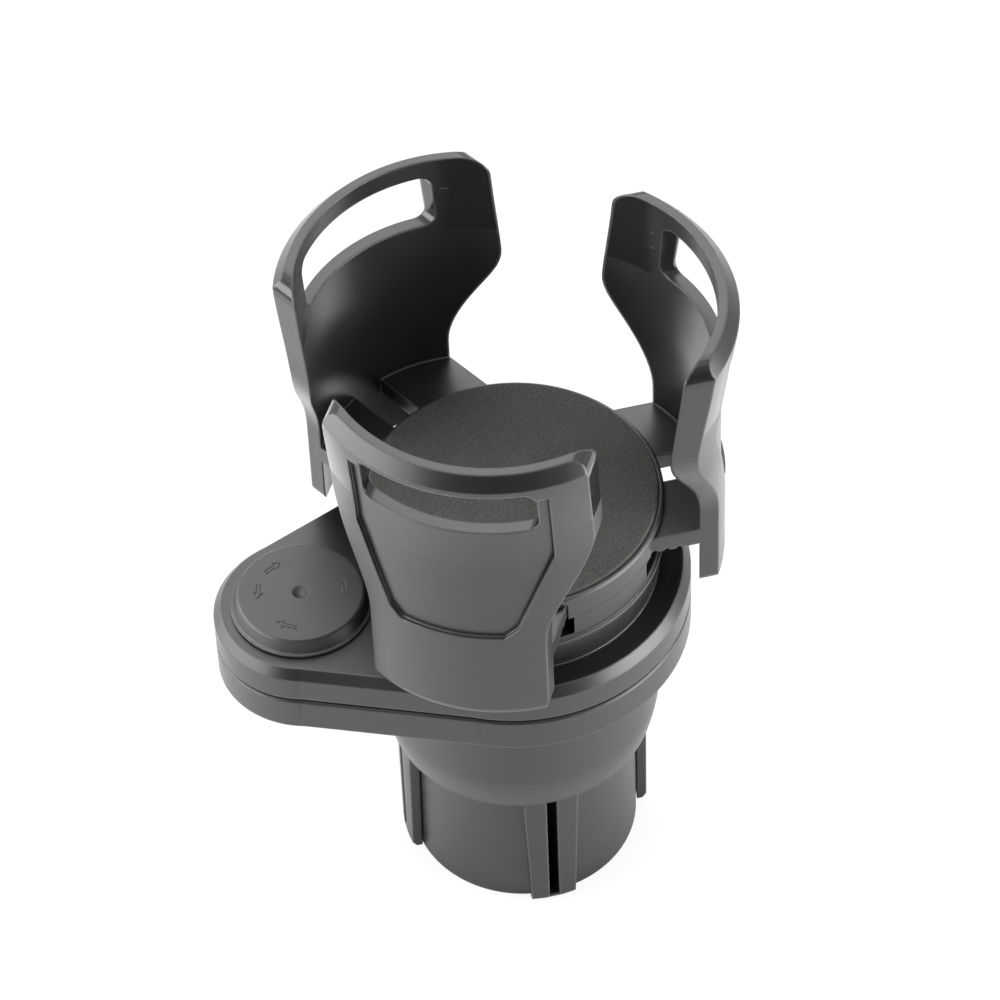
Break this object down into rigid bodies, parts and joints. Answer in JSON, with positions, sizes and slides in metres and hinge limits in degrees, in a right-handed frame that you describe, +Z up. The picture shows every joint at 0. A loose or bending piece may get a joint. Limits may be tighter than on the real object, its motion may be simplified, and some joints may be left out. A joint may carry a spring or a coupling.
{
  "type": "car cup holder",
  "caption": "Car cup holder with an expanding foot, a lower cup well, and a swing-out tray that carries a padded cup seat with sliding windowed arms.",
  "frame": {"origin": "centre of the foot's underside, on the axis that the bowl turns on", "axes": "+Z up, out of the cup seats; -X towards the knob that the tray swings on; +X towards the side arm"},
  "size_m": [0.1287, 0.1092, 0.186],
  "materials": {
    "satin_abs": "satin black ABS, fine even texture",
    "arm_abs": "satin black ABS with polished edges",
    "acetal": "natural acetal, smooth",
    "black_rubber": "soft matt rubber",
    "eva_foam": "fine closed-cell EVA foam, matt",
    "zinc_steel": "zinc-plated steel",
    "spring_steel": "spring steel",
    "brass": "turned brass"
  },
  "bodies": {
    "foot": {"foot_shell": "satin_abs", "axle_bolt": "zinc_steel", "axle_nut": "zinc_steel", "axle_washer": "zinc_steel"},
    "fin_front": {"fin_front": "satin_abs"},
    "fin_right": {"fin_right": "satin_abs"},
    "fin_rear": {"fin_rear": "satin_abs"},
    "fin_left": {"fin_left": "satin_abs"},
    "bowl": {"lower_body": "satin_abs", "cam_disc": "acetal", "cam_screws": "zinc_steel", "well_mat": "black_rubber", "collar_deck": "satin_abs", "deck_screws": "zinc_steel", "pivot_bolt": "zinc_steel", "pivot_washer": "acetal"},
    "tray": {"tray_plate": "satin_abs", "tray_cover": "satin_abs", "tray_screws": "zinc_steel", "seat_case": "satin_abs", "seat_ring": "satin_abs", "seat_screws": "zinc_steel", "foam_pad": "eva_foam", "spring_washer": "spring_steel"},
    "knob": {"lock_knob": "satin_abs", "knob_insert": "brass"},
    "arm_front": {"arm_front": "arm_abs"},
    "arm_side": {"arm_side": "arm_abs"},
    "arm_rear": {"arm_rear": "arm_abs"}
  },
  "joints": [
    {"name": "bowl_turn", "type": "hinge", "parent": "foot", "child": "bowl", "pos_m": [0, 0, 0], "axis": [0, 0, 1], "range_deg": [0, 100]},
    {"name": "fin_front_slide", "type": "slide", "parent": "foot", "child": "fin_front", "axis": [0, -1, 0], "range_m": [0, 0.008]},
    {"name": "fin_right_slide", "type": "slide", "parent": "foot", "child": "fin_right", "axis": [1, 0, 0], "range_m": [0, 0.008]},
    {"name": "fin_rear_slide", "type": "slide", "parent": "foot", "child": "fin_rear", "axis": [0, 1, 0], "range_m": [0, 0.008]},
    {"name": "fin_left_slide", "type": "slide", "parent": "foot", "child": "fin_left", "axis": [-1, 0, 0], "range_m": [0, 0.008]},
    {"name": "tray_swing", "type": "hinge", "parent": "bowl", "child": "tray", "pos_m": [-0.053, 0, 0.0878], "axis": [0, 0, 1], "continuous": true},
    {"name": "knob_turn", "type": "hinge", "parent": "bowl", "child": "knob", "pos_m": [-0.053, 0, 0.0975], "axis": [0, 0, 1], "range_deg": [0, 90]},
    {"name": "arm_front_slide", "type": "slide", "parent": "tray", "child": "arm_front", "axis": [-0.5, -0.866, 0], "range_m": [-0.01, 0.0055]},
    {"name": "arm_side_slide", "type": "slide", "parent": "tray", "child": "arm_side", "axis": [1, 0, 0], "range_m": [-0.01, 0.0055]},
    {"name": "arm_rear_slide", "type": "slide", "parent": "tray", "child": "arm_rear", "axis": [-0.5, 0.866, 0], "range_m": [-0.014, 0.0015]}
  ],
  "couplings": [
    {"joint": "fin_front_slide", "follows": "bowl_turn", "m_per_rad": 0.0045836},
    {"joint": "fin_right_slide", "follows": "bowl_turn", "m_per_rad": 0.0045836},
    {"joint": "fin_rear_slide", "follows": "bowl_turn", "m_per_rad": 0.0045836},
    {"joint": "fin_left_slide", "follows": "bowl_turn", "m_per_rad": 0.0045836}
  ]
}
